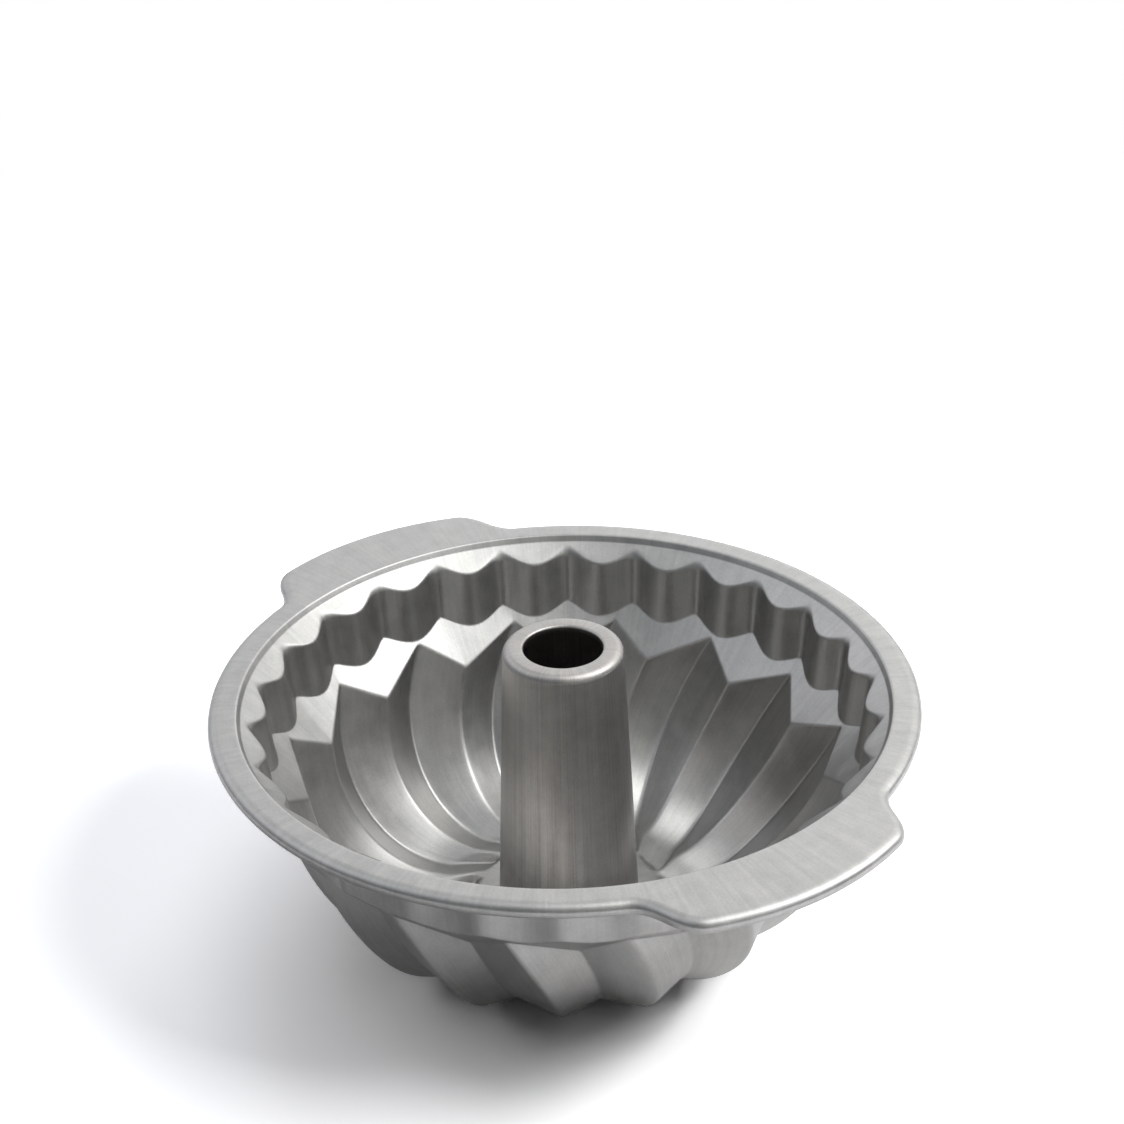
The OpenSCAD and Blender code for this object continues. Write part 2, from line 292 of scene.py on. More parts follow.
curl_rings = [rolled(BEAD_R, turn, early=ROLL_EARLY) for turn in np.arange(90, -181, -15)]
print("rings of the roll:", len(curl_rings))

# %% [markdown]
# ## All rings, in three bands
#
# Where two surfaces meet in a ring, the corner is bent too, wide where the photograph shows a
# soft edge and narrow where it shows a crisp one. Each entry below is a ring, how far its bend
# reaches to both sides, and how many plain rings follow it. The columns run close to the
# creases in the bowl, evenly round the wall, and close to the tabs' flanks in the edge, so these
# are three bands of rings. A band's last bend looks straight across at the next band.


# %% The straight way across the ledge
def angle_of(row):
    """Angle of each point of a ring, from 0 to a full turn."""
    return np.arctan2(row[:, 1], row[:, 0]) % (2 * math.pi)


def wall_foot_across(row):
    """The wall's foot, straight outwards from each point of a ring."""
    angle = angle_of(row)
    radius = scallop_radius(angle, LEDGE_FOOT_R, FOOT_SOFT)
    return ring(radius, angle, ledge_z(radius))


def flute_top_across(row, top):
    """The flutes' top edge, straight inwards from each point of a ring."""
    angle = angle_of(row)
    order = np.argsort(angle_of(top))
    radius = np.interp(angle, angle_of(top)[order], np.hypot(top[:, 0], top[:, 1])[order],
                       period=2 * math.pi)
    return ring(radius, angle, ledge_z(radius))


flute_top = flute_rings[-1]
across_z = wall_foot_across(flute_top)[:, 2]
print("height of the wall's foot, straight out from the flutes:",
      round(float(across_z.min()), 1), "to", round(float(across_z.max()), 1))

# %% The sheet's rings, with their bends
def with_bends(entries, share, inside=None, outside=None, points=5):
    """The rings in order, each corner replaced by its curve, with plain rings after it."""
    rows = [inside] + [row for row, _, _ in entries] + [outside]
    curves = [bend(before, row, after, reach, points, share) if np.any(reach) else [row]
              for before, (row, reach, _), after in zip(rows, entries, rows[2:])]
    out = []
    for curve, following, (_, _, plain) in zip(curves, curves[1:], entries):
        out += curve + between(curve[-1], following[0], plain)
    return out + curves[-1]


COLLAR_R = 26.0
COLLAR_FOOT_Z = 1.8
FLAT_RING_R = 34.5
foot_a = angle_of(flute_rings[0])
bowl_entries = [(ring(COLLAR_R, foot_a, COLLAR_FOOT_Z), 0, 0), (ring(COLLAR_R, foot_a, FOOT_Z), 0.7, 2),
                (ring(FLAT_RING_R, foot_a, FOOT_Z), 1.1, 0), (flute_rings[0], 1.3, 0)]
bowl_entries += [(row, 0, 0) for row in flute_rings[1:-1]] + [(flute_top, 1.3, 0)]
wall_entries = [(wall_rings[0], 0.6, 0)] + [(row, 0, 0) for row in wall_rings[1:-1]]
in_crease = 1 - np.abs(np.cos(COLUMN_A * SCALLOPS / 2))[:, None]
wall_entries += [(wall_rings[-1], 0.9 + 2.1 * in_crease**2, 2), (ring(STEP_R, COLUMN_A, STEP_Z), 0.4, 0),
                 (ring(MOUTH_R, COLUMN_A, RIM_Z), 0.6, 0), (ring(MOUTH_R + 1.5, COLUMN_A, RIM_Z), 0, 0)]
bowl_band = with_bends(bowl_entries, 0.45, outside=wall_foot_across(flute_top))
wall_band = with_bends(wall_entries, 0.7, inside=flute_top_across(wall_rings[0], flute_top))
edge_band = [curl_rings[0] - 0.5 * EDGE_OUT] + curl_rings
print("rings of the sheet:", len(bowl_band), len(wall_band), len(edge_band))

# %% [markdown]
# ## From rings to a mesh
#
# A grid is a flat sheet before pressing, with one line of points for each ring. Its points are
# moved to the rings, and its two ends are welded where they meet. Two bands are then joined by
# triangles, in order of angle, because their columns differ. Each face also remembers where it
# lies on the sheet, round it and along it, as a UV map, so that marks left by the press can
# follow the metal. The thickness comes last, on the under side, as a Solidify modifier, once
# all faces point the same way.


# %% From a bmesh to a piece
def finished(bm, name):
    """An object from a bmesh, shaded smooth, with its origin under the middle of the pan."""
    for face in bm.faces:
        face.smooth = True
    mesh = bpy.data.meshes.new(name)
    bm.to_mesh(mesh)
    bm.free()
    piece = bpy.data.objects.new(name, mesh)
    bpy.context.scene.collection.objects.link(piece)
    return piece


# %% Press a grid into a band
def press_band(bm, rows, round_like, along):
    """Press a grid to a band of rings. Its first and last line come back, as points with UVs."""
    uv = bm.loops.layers.uv.verify()
    verts = bmesh.ops.create_grid(bm, x_segments=COLUMNS, y_segments=len(rows) - 1, size=1)["verts"]
    share = np.append(angle_of(round_like) / (2 * math.pi), 1)
    place = {}
    for number, vert in enumerate(verts):
        row, column = divmod(number, COLUMNS + 1)
        vert.co = rows[row][column % COLUMNS] * MM
        place[vert] = (share[column], along[row])
    for face in {face for vert in verts for face in vert.link_faces}:
        for loop in face.loops:
            loop[uv].uv = place[loop.vert]
    lines = [verts[start:start + COLUMNS + 1] for start in range(0, len(verts), COLUMNS + 1)]
    ends = [[(vert, place[vert]) for vert in line] for line in (lines[0], lines[-1])]
    for end, line in zip(ends, (lines[0], lines[-1])):
        end[-1] = (line[0], end[-1][1])
    bmesh.ops.weld_verts(bm, targetmap={line[-1]: line[0] for line in lines})
    return ends


print("a grid for the bowl has", COLUMNS * (len(bowl_band) - 1), "faces")


# %% Join two bands
def join_lines(bm, inner, outer):
    """Join two closed lines of points whose columns differ, with triangles in order of angle."""
    uv = bm.loops.layers.uv.verify()
    i = j = 0
    while i + j < 2 * COLUMNS:
        inner_next = j == COLUMNS or (i < COLUMNS and inner[i + 1][1][0] < outer[j + 1][1][0])
        corners = (inner[i], inner[i + 1] if inner_next else outer[j + 1], outer[j])
        face = bm.faces.new([vert for vert, _ in corners])
        for loop, (_, place) in zip(face.loops, corners):
            loop[uv].uv = place
        i, j = (i + 1, j) if inner_next else (i, j + 1)


print("triangles between two bands:", 2 * COLUMNS)


# %% The whole sheet
def pressed_sheet(name, bands):
    """A mesh object from bands of rings. Each band has with it the ring that spaces its columns."""
    bm = bmesh.new()
    bm.loops.layers.uv.new("sheet")
    rows = [row for band, _ in bands for row in band]
    steps = [np.linalg.norm(b - a, axis=1).mean() for a, b in zip(rows, rows[1:])]
    along = list(np.concatenate([[0], np.cumsum(steps)]) / 100)
    last = None
    for band, round_like in bands:
        first, end = press_band(bm, band, round_like, along[:len(band)])
        along = along[len(band):]
        if last:
            join_lines(bm, last, first)
        last = end
    bmesh.ops.recalc_face_normals(bm, faces=bm.faces)
    top = max(bm.faces, key=lambda f: f.calc_center_median().z * abs(f.normal.z))
    if top.normal.z < 0:
        bmesh.ops.reverse_faces(bm, faces=bm.faces)
    return finished(bm, name)


pan_sheet = pressed_sheet(
    "pan_sheet", ((bowl_band, flute_top), (wall_band, wall_rings[0]), (edge_band, curl_rings[0])))
wall = pan_sheet.modifiers.new("thickness", "SOLIDIFY")
wall.thickness = SHEET * MM
wall.offset = -1
wall.use_even_offset = True
print("faces on one side of the sheet:", len(pan_sheet.data.polygons))

# %% [markdown]
# ## The tube
#
# The tube is turned: its wall tapers, and its lip folds in and down. Under the bowl it folds
# out again and grips the sheet. A profile drawn once and spun round the axis gives it, with
# closely spaced points where it bends. Spin makes its faces in an order that changes from run
# to run, so they are sorted, and come out in the same order each time.


# %% Helpers for the tube
SHARP_ABOVE = 50


def arc(centre, radius, start, end, steps=10):
    """Points of an arc in the profile's plane, as (radius, height)."""
    turns = np.radians(np.linspace(start, end, steps + 1))
    return [(centre[0] + radius * math.cos(t), centre[1] + radius * math.sin(t)) for t in turns]


def in_fixed_order(bm):
    """Sort the points by place, and the edges and faces by their points."""
    points = sorted(bm.verts, key=lambda vert: tuple(vert.co))
    rank = {vert: number for number, vert in enumerate(points)}
    bm.verts.sort(key=rank.get)
    bm.verts.index_update()
    for parts in (bm.edges, bm.faces):
        ranked = sorted(parts, key=lambda part: sorted(vert.index for vert in part.verts))
        rank = {part: number for number, part in enumerate(ranked)}
        parts.sort(key=rank.get)


def spun(name, profile, steps=144):
    """A closed profile of (radius, height) points spun round the Z axis."""
    bm = bmesh.new()
    verts = [bm.verts.new((r * MM, 0, z * MM)) for r, z in profile]
    edges = [bm.edges.new((a, b)) for a, b in zip(verts, verts[1:] + verts[:1])]
    bmesh.ops.spin(bm, geom=verts + edges, cent=(0, 0, 0), axis=(0, 0, 1), angle=2 * math.pi,
                   steps=steps, use_merge=True)
    bmesh.ops.remove_doubles(bm, verts=bm.verts, dist=1e-7)
    bmesh.ops.recalc_face_normals(bm, faces=bm.faces)
    in_fixed_order(bm)
    piece = finished(bm, name)
    piece.data.set_sharp_from_angle(angle=math.radians(SHARP_ABOVE))
    return piece


print("a quarter circle has", len(arc((0, 0), 1, 0, 90)), "points")

# %% Spin the tube's profile
LIP_Z = RIM_Z + 18.0
TUBE_FOOT_R = 25.8
TUBE_TOP_R = 21.4
BORE_R = 14.0
HEM_R = 27.0
HEM_Z = 3.2
FOLD_Z = 1.6
LIP_ROUND = 3.0
NECK_ROUND = 1.0
NECK_EDGE = 1.0
lip_out = (TUBE_TOP_R - LIP_ROUND, LIP_Z - LIP_ROUND)
lip_in = (BORE_R + NECK_ROUND, LIP_Z - NECK_ROUND)
outside = [(TUBE_FOOT_R, FOLD_Z), (TUBE_FOOT_R, FOOT_Z)]
outside += [(TUBE_FOOT_R + (TUBE_TOP_R - TUBE_FOOT_R) * t, FOOT_Z + (lip_out[1] - FOOT_Z) * t)
            for t in np.linspace(0, 1, 12)[1:-1]]
neck_z = lip_in[1] - NECK_EDGE
neck = [(BORE_R, neck_z), (BORE_R + SHEET, neck_z)]
inside = [(TUBE_FOOT_R - SHEET, FOOT_Z), (TUBE_FOOT_R - SHEET, FOLD_Z - SHEET)]
hem = [(HEM_R + SHEET, FOLD_Z - SHEET), (HEM_R + SHEET, HEM_Z), (HEM_R, HEM_Z), (HEM_R, FOLD_Z)]
profile = outside + arc(lip_out, LIP_ROUND, 0, 90) + arc(lip_in, NECK_ROUND, 90, 180) + neck
profile += arc(lip_in, NECK_ROUND - SHEET, 180, 90) + arc(lip_out, LIP_ROUND - SHEET, 90, 0)
profile += inside + hem
tube_skin = spun("tube_skin", profile)
print("points in the tube's profile:", len(profile))

# %% [markdown]
# ## The wire in the edge
#
# The wire is hidden in the roll, apart from a line of it that shows from below. It follows the
# outline, so a round section is carried along it, ring by ring, as the sheet was.


# %% Carry the wire along the outline
WIRE_R = 1.6


def wire_in_roll(name, radius, sides=12):
    """A closed round wire along the rolled edge's centre line."""
    bm = bmesh.new()
    bmesh.ops.create_grid(bm, x_segments=COLUMNS, y_segments=sides, size=1)
    rows = [rolled(radius, 360 * side / sides) for side in range(sides + 1)]
    places = np.concatenate([np.vstack([row, row[:1]]) for row in rows]) * MM
    for vert, place in zip(bm.verts, places):
        vert.co = place
    bmesh.ops.remove_doubles(bm, verts=bm.verts, dist=1e-7)
    bmesh.ops.recalc_face_normals(bm, faces=bm.faces)
    return finished(bm, name)


edge_wire = wire_in_roll("edge_wire", WIRE_R)
print("faces of the wire:", len(edge_wire.data.polygons))

# %% [markdown]
# ## Finishes
#
# The coating is a thin silver-grey layer on steel. It is satin, with a fine grain, and the
# drawing of the metal shows through it as faint streaks up the tube and the walls. A picture of
# such metal could be wrapped on, but noise needs no picture and has no seams. Two effects are
# shared, so each is a node group with values of its own for each use: the grain, and the
# streaks.


# %% Helpers for nodes
def add(nodes, kind, place=(0, 0), **values):
    """A new node with its properties set."""
    node = nodes.new(kind)
    node.location = place
    for key, value in values.items():
        setattr(node, key, value)
    return node


def ranged(nodes, links, source, low, high, start=0.0, end=1.0, place=(0, 0)):
    """A value that goes from low to high as the source goes from start to end."""
    node = add(nodes, "ShaderNodeMapRange", place)
    for socket, value in zip(("From Min", "From Max", "To Min", "To Max"), (start, end, low, high)):
        node.inputs[socket].default_value = value
    links.new(source, node.inputs["Value"])
    return node.outputs[0]


def new_group(name, inputs, outputs):
    """A shader node group with named inputs and number outputs, and its two end nodes."""
    group = bpy.data.node_groups.new(name, "ShaderNodeTree")
    for label, kind, default in inputs:
        socket = group.interface.new_socket(name=label, in_out="INPUT", socket_type=kind)
        if default is not None:
            socket.default_value = default
    for label in outputs:
        group.interface.new_socket(name=label, in_out="OUTPUT", socket_type="NodeSocketFloat")
    start = add(group.nodes, "NodeGroupInput", (-900, 0))
    end = add(group.nodes, "NodeGroupOutput", (600, 0))
    return group, start, end


# %% The fine grain of the coating
def coating_grain():
    """Grain: soft clouds, with smaller specks on top. Both sizes are in millimetres."""
    group, start, end = new_group(
        "coating grain",
        [("Place", "NodeSocketVector", None), ("Speck Size", "NodeSocketFloat", 0.8),
         ("Cloud Size", "NodeSocketFloat", 6.0)],
        ["Specks", "Clouds"],
    )
    for label, row in (("Speck", 200), ("Cloud", -200)):
        scale = add(group.nodes, "ShaderNodeMath", (-600, row), operation="DIVIDE")
        scale.inputs[0].default_value = 1 / MM
        group.links.new(start.outputs[f"{label} Size"], scale.inputs[1])
        noise = add(group.nodes, "ShaderNodeTexNoise", (-300, row))
        noise.inputs["Detail"].default_value = 2.0
        group.links.new(start.outputs["Place"], noise.inputs["Vector"])
        group.links.new(scale.outputs[0], noise.inputs["Scale"])
        group.links.new(noise.outputs["Fac"], end.inputs[f"{label}s"])
    return group


GRAIN = coating_grain()
print("the grain is made of:", len(GRAIN.nodes), "nodes")


# %% The streaks left by drawing
def round_piece(group, start):
    """A point on a circle for each turn round the piece, so that the streaks have no seam."""
    turn = add(group.nodes, "ShaderNodeMath", (-700, 100), operation="MULTIPLY")
    turn.inputs[1].default_value = 2 * math.pi
    group.links.new(start.outputs["Round"], turn.inputs[0])
    point = []
    for row, operation in ((200, "COSINE"), (0, "SINE")):
        wave = add(group.nodes, "ShaderNodeMath", (-550, row), operation=operation)
        size = add(group.nodes, "ShaderNodeMath", (-400, row), operation="MULTIPLY")
        group.links.new(turn.outputs[0], wave.inputs[0])
        group.links.new(wave.outputs[0], size.inputs[0])
        group.links.new(start.outputs["Count"], size.inputs[1])
        point.append(size)
    return point


def drawn_streaks():
    """Streaks: noise that changes quickly round the piece and slowly along it."""
    group, start, end = new_group(
        "drawn streaks",
        [("Round", "NodeSocketFloat", 0.0), ("Along", "NodeSocketFloat", 0.0),
         ("Count", "NodeSocketFloat", 120.0), ("Length", "NodeSocketFloat", 1.5)],
        ["Streaks"],
    )
    stretch = add(group.nodes, "ShaderNodeMath", (-400, -200), operation="MULTIPLY")
    group.links.new(start.outputs["Along"], stretch.inputs[0])
    group.links.new(start.outputs["Length"], stretch.inputs[1])
    place = add(group.nodes, "ShaderNodeCombineXYZ", (-200, 0))
    for source, socket in zip(round_piece(group, start) + [stretch], "XYZ"):
        group.links.new(source.outputs[0], place.inputs[socket])
    noise = add(group.nodes, "ShaderNodeTexNoise", (0, 0))
    for socket, value in (("Scale", 1.0), ("Detail", 4.0), ("Roughness", 0.65)):
        noise.inputs[socket].default_value = value
    group.links.new(place.outputs[0], noise.inputs["Vector"])
    streaks = ranged(group.nodes, group.links, noise.outputs["Fac"], 0, 1, 0.3, 0.7, place=(200, 0))
    group.links.new(streaks, end.inputs["Streaks"])
    return group


STREAKS = drawn_streaks()
print("node groups:", [group.name for group in bpy.data.node_groups])

# %% [markdown]
# ## The satin coating
#
# The coating reflects like metal seen through fine frost: the reflection keeps its shape on
# big forms but has no edges. We could paint it as a pale layer over steel, but the layer is
# itself full of metal flakes. So it is metallic with a middling roughness. Streaks, specks and
# clouds change its colour by about a tenth, the clouds change its roughness too, and streaks
# and specks tilt its surface very slightly.


# %% Where the streaks run on a piece
def streak_place(nodes, links, by_sheet):
    """Two values: how far round the piece a point lies, in turns, and how far along it."""
    split = add(nodes, "ShaderNodeSeparateXYZ", (-1050, -300))
    if by_sheet:
        sheet_map = add(nodes, "ShaderNodeUVMap", (-1300, -300), uv_map="sheet")
        links.new(sheet_map.outputs[0], split.inputs[0])
        return split.outputs["X"], split.outputs["Y"]
    where = add(nodes, "ShaderNodeTexCoord", (-1300, -300))
    sweep = add(nodes, "ShaderNodeTexGradient", (-1050, -100), gradient_type="RADIAL")
    for node in (split, sweep):
        links.new(where.outputs["Object"], node.inputs[0])
    return sweep.outputs["Fac"], split.outputs["Z"]


print("the sheet's map of itself:", pan_sheet.data.uv_layers[0].name)

# %% Build the coating for a piece
COAT_ROUGHNESS = (0.3, 0.42)
SPECK_SPREAD = 0.12
CLOUD_SPREAD = 0.14
MARK_DEPTH = 0.1


def coating_color(nodes, links, color, warm, streaks, grain):
    """The coating's colour, warmer along streaks, and shaded by specks and clouds."""
    tint = add(nodes, "ShaderNodeMix", (-300, 100), data_type="RGBA")
    tint.inputs["A"].default_value = (*color, 1)
    tint.inputs["B"].default_value = (*warm, 1)
    links.new(streaks.outputs[0], tint.inputs["Factor"])
    color_now = tint.outputs["Result"]
    for mask, spread, row in (("Specks", SPECK_SPREAD, 450), ("Clouds", CLOUD_SPREAD, 650)):
        share = ranged(nodes, links, grain.outputs[mask], 1 - spread, 1 + spread, place=(-300, row))
        shade = add(nodes, "ShaderNodeVectorMath", (0, row), operation="SCALE")
        links.new(color_now, shade.inputs[0])
        links.new(share, shade.inputs["Scale"])
        color_now = shade.outputs[0]
    return color_now


def satin_coating(name, color, warm, streak_count, streak_length, streak_depth, by_sheet):
    """A satin metal coating. by_sheet takes streaks from the UV map, else from the axis."""
    material = bpy.data.materials.new(name)
    material.use_nodes = True
    nodes, links = material.node_tree.nodes, material.node_tree.links
    shader = nodes["Principled BSDF"]
    shader.inputs["Metallic"].default_value = 1.0
    where = add(nodes, "ShaderNodeTexCoord", (-1300, 250))
    grain = add(nodes, "ShaderNodeGroup", (-800, 250), node_tree=GRAIN)
    links.new(where.outputs["Object"], grain.inputs["Place"])
    streaks = add(nodes, "ShaderNodeGroup", (-800, -100), node_tree=STREAKS)
    streaks.inputs["Count"].default_value = streak_count
    streaks.inputs["Length"].default_value = streak_length
    for source, socket in zip(streak_place(nodes, links, by_sheet), ("Round", "Along")):
        links.new(source, streaks.inputs[socket])
    links.new(coating_color(nodes, links, color, warm, streaks, grain), shader.inputs["Base Color"])
    links.new(ranged(nodes, links, grain.outputs["Clouds"], *COAT_ROUGHNESS, place=(-300, -100)),
              shader.inputs["Roughness"])
    height = add(nodes, "ShaderNodeMath", (-500, -400), operation="ADD")
    links.new(streaks.outputs[0], height.inputs[0])
    links.new(grain.outputs["Specks"], height.inputs[1])
    bump = add(nodes, "ShaderNodeBump", (-300, -400))
    bump.inputs["Strength"].default_value = streak_depth
    bump.inputs["Distance"].default_value = MARK_DEPTH * MM
    links.new(height.outputs[0], bump.inputs["Height"])
    links.new(bump.outputs[0], shader.inputs["Normal"])
    return material


SHEET_COAT = satin_coating(
    "satin coating on the sheet", color=(0.375, 0.375, 0.37), warm=(0.435, 0.428, 0.42),
    streak_count=60, streak_length=2.0, streak_depth=0.16, by_sheet=True)
TUBE_COAT = satin_coating(
    "satin coating on the tube", color=(0.33, 0.322, 0.315), warm=(0.45, 0.428, 0.413),
    streak_count=45, streak_length=8.0, streak_depth=0.22, by_sheet=False)
print("nodes in the sheet's coating:", len(SHEET_COAT.node_tree.nodes))

# %% [markdown]
# ## The bare wire
#
# The wire has no coating. It is drawn steel, darker and plainer than the sheet, and hardly any
# of it shows. So it shares the grain, between two greys, and needs no streaks.


# %% Build the finish of the wire
def drawn_wire():
    """Bare drawn steel, darker than the coating."""
    material = bpy.data.materials.new("drawn steel wire")
    material.use_nodes = True
    nodes, links = material.node_tree.nodes, material.node_tree.links
    shader = nodes["Principled BSDF"]
    shader.inputs["Metallic"].default_value = 1.0
    where = add(nodes, "ShaderNodeTexCoord", (-900, 0))
    grain = add(nodes, "ShaderNodeGroup", (-600, 0), node_tree=GRAIN)
    links.new(where.outputs["Object"], grain.inputs["Place"])
    color = add(nodes, "ShaderNodeMix", (-300, 100), data_type="RGBA")
    color.inputs["A"].default_value = (0.3, 0.29, 0.28, 1)
    color.inputs["B"].default_value = (0.46, 0.45, 0.44, 1)
    links.new(grain.outputs["Clouds"], color.inputs["Factor"])
    links.new(color.outputs["Result"], shader.inputs["Base Color"])
    links.new(ranged(nodes, links, grain.outputs["Specks"], 0.35, 0.5, place=(-300, -150)),
              shader.inputs["Roughness"])
    return material


WIRE_STEEL = drawn_wire()
print("finishes:", [material.name for material in (SHEET_COAT, TUBE_COAT, WIRE_STEEL)])

# %% [markdown]
# ## Fit the pieces to the frame
#
# Each drawn piece stands for one of the measured solids, which then isn't shown. Nothing on
# the pan moves, so all of them ride on the same body.

# %% Pieces, finishes and frame
dressed = ((pan_sheet, "pan_body", "coated_sheet", SHEET_COAT),
           (tube_skin, "centre_tube", "coated_tube", TUBE_COAT),
           (edge_wire, "rim_wire", "wire_steel", WIRE_STEEL))
for piece, node, slot, material in dressed:
    piece.data.materials.append(material)
    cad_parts[node].data.materials.clear()
    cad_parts[node].data.materials.append(material)
    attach(piece, "root")
    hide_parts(node)
print("pieces:", {piece.name: node for piece, node, _, _ in dressed})

# %% [markdown]
# ## The paper floor
#
# The pan stands on white paper. A photograph for a shop page shows it brighter than paper is,
# and far from the pan it is plain white, with no horizon. We could light the paper until it is
# white, but then it would glare in the metal. So its look depends on who sees it. The camera
# sees it bright, and plain white past half a metre. The metal sees it as greyer paper with a
# painted shadow: its colour is darkest round a point on the left in front, where the pan's
# shadow lies. From below it isn't there, so that the under side can be looked at.

# %% Directions as the camera sees them
CAMERA_TURN = math.radians(56.7)
TURN = Matrix.Rotation(CAMERA_TURN, 4, "Z")


def seen(right, back, up):
    """A place given as right of, behind and above the pan for someone at the camera, in metres."""
    return TURN @ Vector((right, back, up))


def towards(height, round_to):
    """A direction, degrees above level, turned in degrees from the camera's right to its back."""
    height, round_to = math.radians(height), math.radians(round_to)
    level = math.cos(height)
    return seen(level * math.cos(round_to), level * math.sin(round_to), math.sin(height))


print("the camera's right in the frame:", [round(x, 3) for x in towards(0, 0)])

# %% The paper's two looks
# Middle of the painted shadow in the paper's colour, as the metal sees it.
SHADOW_MIDDLE = seen(-0.2, -0.15, 0)
PAPER_TO_CAMERA = 1.3


def white_paper():
    """Paper that is bright to the camera, greyer to the metal with a painted shadow, and clear from below.
    """
    material = bpy.data.materials.new("white paper")
    material.use_nodes = True
    nodes, links = material.node_tree.nodes, material.node_tree.links
    nodes.clear()

    def mixed(first, second, share):
        mix = add(nodes, "ShaderNodeMixShader")
        for source, socket in ((share, 0), (first.outputs[0], 1), (second.outputs[0], 2)):
            links.new(source, mix.inputs[socket])
        return mix

    where = add(nodes, "ShaderNodeTexCoord")
    from_shadow = add(nodes, "ShaderNodeVectorMath", operation="DISTANCE")
    from_shadow.inputs[1].default_value = SHADOW_MIDDLE
    from_pan = add(nodes, "ShaderNodeVectorMath", operation="LENGTH")
    for distance in (from_shadow, from_pan):
        links.new(where.outputs["Object"], distance.inputs[0])
    to_metal = add(nodes, "ShaderNodeBsdfDiffuse")
    # Painted shadow: for the metal, the paper's colour is 0.38 within 5 cm of the shadow's middle and
    # rises to 1 at 34 cm.
    shadow_painted_grey = ranged(nodes, links, from_shadow.outputs["Value"], 0.38, 1, start=0.05, end=0.34)
    links.new(shadow_painted_grey, to_metal.inputs["Color"])
    to_camera = add(nodes, "ShaderNodeBsdfDiffuse")
    to_camera.inputs["Color"].default_value = (*[PAPER_TO_CAMERA] * 3, 1)
    far = ranged(nodes, links, from_pan.outputs["Value"], 0, 1, start=0.45, end=0.9)
    look = mixed(to_camera, add(nodes, "ShaderNodeEmission"), far)
    look = mixed(to_metal, look, add(nodes, "ShaderNodeLightPath").outputs["Is Camera Ray"])
    below = add(nodes, "ShaderNodeNewGeometry").outputs["Backfacing"]
    look = mixed(look, add(nodes, "ShaderNodeBsdfTransparent"), below)
    links.new(look.outputs[0], add(nodes, "ShaderNodeOutputMaterial").inputs[0])
    return material


# %% Lay the paper
def paper_floor(half_width):
    """A wide plane of paper under the pan, which isn't part of the object."""
    bm = bmesh.new()
    bmesh.ops.create_grid(bm, x_segments=1, y_segments=1, size=half_width)
    floor = finished(bm, "paper_floor")
    floor.data.materials.append(white_paper())
    return floor


print("paper, in metres:", list(paper_floor(6).dimensions))

# %% [markdown]
# ## The room that the metal shows
#
# Metal shows what is round it, so the room makes the pan look like metal. We could build walls
# and windows, or wrap a picture of a room round it. Satin metal blurs what it shows, so a few
# soft round patches on a plain ground are enough. Each patch below is one line: how high it
# stands and how far round from the camera's right, in degrees, how tight it is, and its
# colour. They were weighed against each other until the greys of flutes, walls and rim were
# those of the photograph. The paper sees none of them, and to the camera the room is white.


# %% Build the room
def room(ground, patches):
    """A world of soft round patches on a plain ground, seen by shiny surfaces only."""
    world = bpy.data.worlds.new("room")
    bpy.context.scene.world = world
    world.use_nodes = True
    world.cycles_visibility.diffuse = False
    nodes, links = world.node_tree.nodes, world.node_tree.links
    where = add(nodes, "ShaderNodeTexCoord", (-1200, 0))
    total = add(nodes, "ShaderNodeCombineXYZ", (-1200, 300))
    for socket, value in zip("XYZ", ground):
        total.inputs[socket].default_value = value
    for number, (height, round_to, tight, color) in enumerate(patches):
        row = -200 * number
        near = add(nodes, "ShaderNodeVectorMath", (-950, row), operation="DOT_PRODUCT")
        near.inputs[1].default_value = towards(height, round_to)
        links.new(where.outputs["Generated"], near.inputs[0])
        slope = add(nodes, "ShaderNodeMath", (-750, row), operation="MULTIPLY_ADD")
        slope.inputs[1].default_value = tight
        slope.inputs[2].default_value = -tight
        links.new(near.outputs["Value"], slope.inputs[0])
        patch = add(nodes, "ShaderNodeMath", (-550, row), operation="EXPONENT")
        links.new(slope.outputs[0], patch.inputs[0])
        more = add(nodes, "ShaderNodeVectorMath", (-350, row), operation="MULTIPLY_ADD")
        more.inputs[1].default_value = color
        links.new(patch.outputs[0], more.inputs[0])
        links.new(total.outputs[0], more.inputs[2])
        total = more
    backdrop = add(nodes, "ShaderNodeMix", (-150, 200), data_type="RGBA")
    backdrop.inputs["B"].default_value = (1, 1, 1, 1)
    path = add(nodes, "ShaderNodeLightPath", (-350, 500))
    links.new(path.outputs["Is Camera Ray"], backdrop.inputs["Factor"])
    links.new(total.outputs[0], backdrop.inputs["A"])
    links.new(backdrop.outputs["Result"], nodes["Background"].inputs["Color"])


PATCHES = (
    (66, 330, 20, (2.2, 2.2, 2.15)),
    (58, 345, 20, (0.4, 0.4, 0.4)),
    (24, 35, 10, (0.54, 0.53, 0.5)),
    (12, 85, 10, (1.12, 1.12, 1.12)),
    (26, 135, 10, (0.9, 0.9, 0.93)),
    (46, 180, 14, (0.74, 0.75, 0.78)),
    (88, 0, 5, (0.5, 0.51, 0.5)),
    (26, 285, 20, (0.26, 0.25, 0.2)),
    (40, 70, 16, (0.72, 0.71, 0.68)),
    (30, 320, 14, (0.76, 0.76, 0.74)),
    (50, 25, 14, (1.6, 1.6, 1.58)),
    (8, 50, 14, (0.48, 0.48, 0.48)),
)
room(ground=(0.2, 0.212, 0.226), patches=PATCHES)
print("patches in the room:", len(PATCHES))

# %% [markdown]
# ## The lamps
#
# Square lamps do the rest, like softboxes in a studio. One set could light both pan and paper,
# but a shadow as soft as the photograph's and reflections as crisp as its own need lamps of
# different sizes. So three of them show only in the metal, and six light only the paper. Most
# of the paper's light comes from the right, so the shadow lies on the left in front.

# %% Hang the lamps
LAMP_DISTANCE = 1.5
AIM = Vector((0, 0, 0.06))
PLAIN = (1, 1, 1)
COOL = (0.96, 0.975, 1.04)


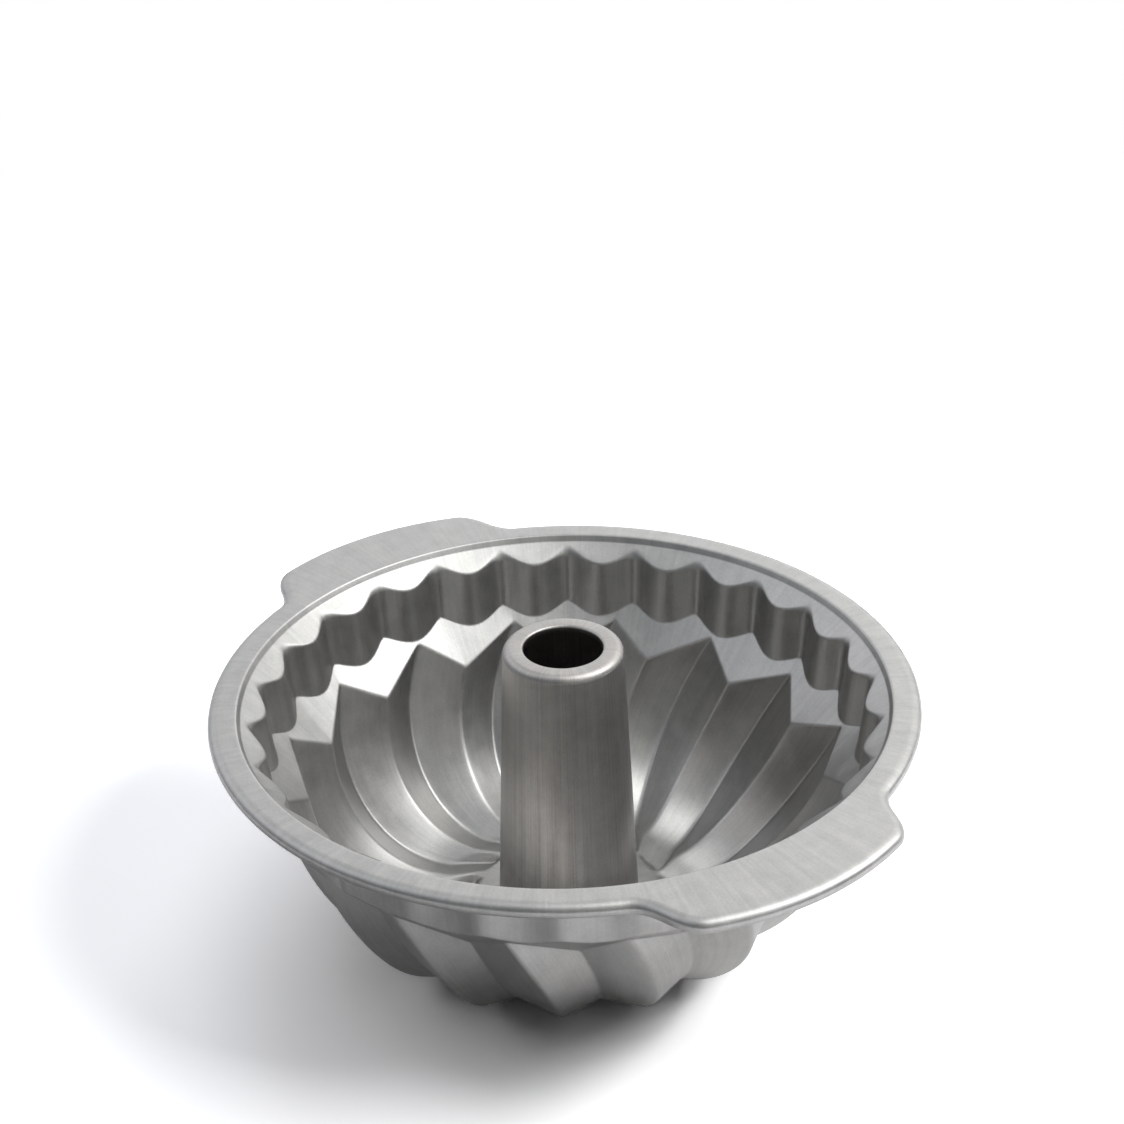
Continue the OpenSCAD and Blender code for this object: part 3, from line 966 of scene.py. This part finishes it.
def softbox(name, height, round_to, size, power, for_paper, tint=PLAIN):
    """A square lamp that faces the pan and lights either the paper or the metal."""
    data = bpy.data.lights.new(name, "AREA")
    data.size = size
    data.energy = power
    data.color = tint
    lamp = bpy.data.objects.new(name, data)
    lamp.location = AIM + LAMP_DISTANCE * towards(height, round_to)
    lamp.rotation_euler = (AIM - lamp.location).to_track_quat("-Z", "Y").to_euler()
    lamp.visible_diffuse = for_paper
    lamp.visible_glossy = not for_paper
    bpy.context.scene.collection.objects.link(lamp)


softbox("key_on_metal", 46, 0, 0.7, 2.4, for_paper=False)
softbox("key_on_metal_low", 34, 8, 0.7, 2.5, for_paper=False)
softbox("key_on_metal_front", 46, -20, 0.7, 1.8, for_paper=False)
softbox("paper_key", 35, 15, 0.4, 14, for_paper=True)
softbox("paper_key_right", 35, -5, 0.4, 3.3, for_paper=True)
softbox("paper_key_front", 50, -25, 0.4, 9, for_paper=True)
softbox("paper_overhead", 80, 210, 1.0, 5.2, for_paper=True, tint=COOL)
softbox("paper_left", 45, 180, 1.0, 6.6, for_paper=True)
softbox("paper_back", 45, 90, 1.0, 9, for_paper=True, tint=COOL)
print("lamps:", len(bpy.data.lights))

# %% [markdown]
# ## The camera
#
# The round edges of rim, flange and tube show as ellipses in the photograph. Their shapes give
# the camera's place, its pitch and roll, and its focal length in pixels, so they were worked
# out rather than tried by eye. The lens below turns that focal length into millimetres.

# %% Place the camera
CAMERA_RIGHT = 0.00041
CAMERA_BACK = -0.7064
CAMERA_HEIGHT = 0.4443 + RIM_Z * MM
PITCH = math.radians(29.07)
ROLL = math.radians(-1.45)
FOCAL_PIXELS = 2365.6
FRAME_PIXELS = 1124
SENSOR = 36

camera_data = bpy.data.cameras.new("camera")
camera_data.sensor_width = SENSOR
camera_data.lens = SENSOR * FOCAL_PIXELS / FRAME_PIXELS
camera = bpy.data.objects.new("camera", camera_data)
level_right = Vector((1, 0, 0))
level_up = Vector((0, math.sin(PITCH), math.cos(PITCH)))
ahead = Vector((0, math.cos(PITCH), -math.sin(PITCH)))
right = level_right * math.cos(ROLL) + level_up * math.sin(ROLL)
up = level_up * math.cos(ROLL) - level_right * math.sin(ROLL)
axes = Matrix((right, up, -ahead)).transposed().to_4x4()
camera.matrix_world = TURN @ Matrix.Translation((CAMERA_RIGHT, CAMERA_BACK, CAMERA_HEIGHT)) @ axes
bpy.context.scene.collection.objects.link(camera)
bpy.context.scene.camera = camera
bpy.context.scene.view_settings.view_transform = "Standard"
print("focal length in millimetres:", round(camera_data.lens, 1))
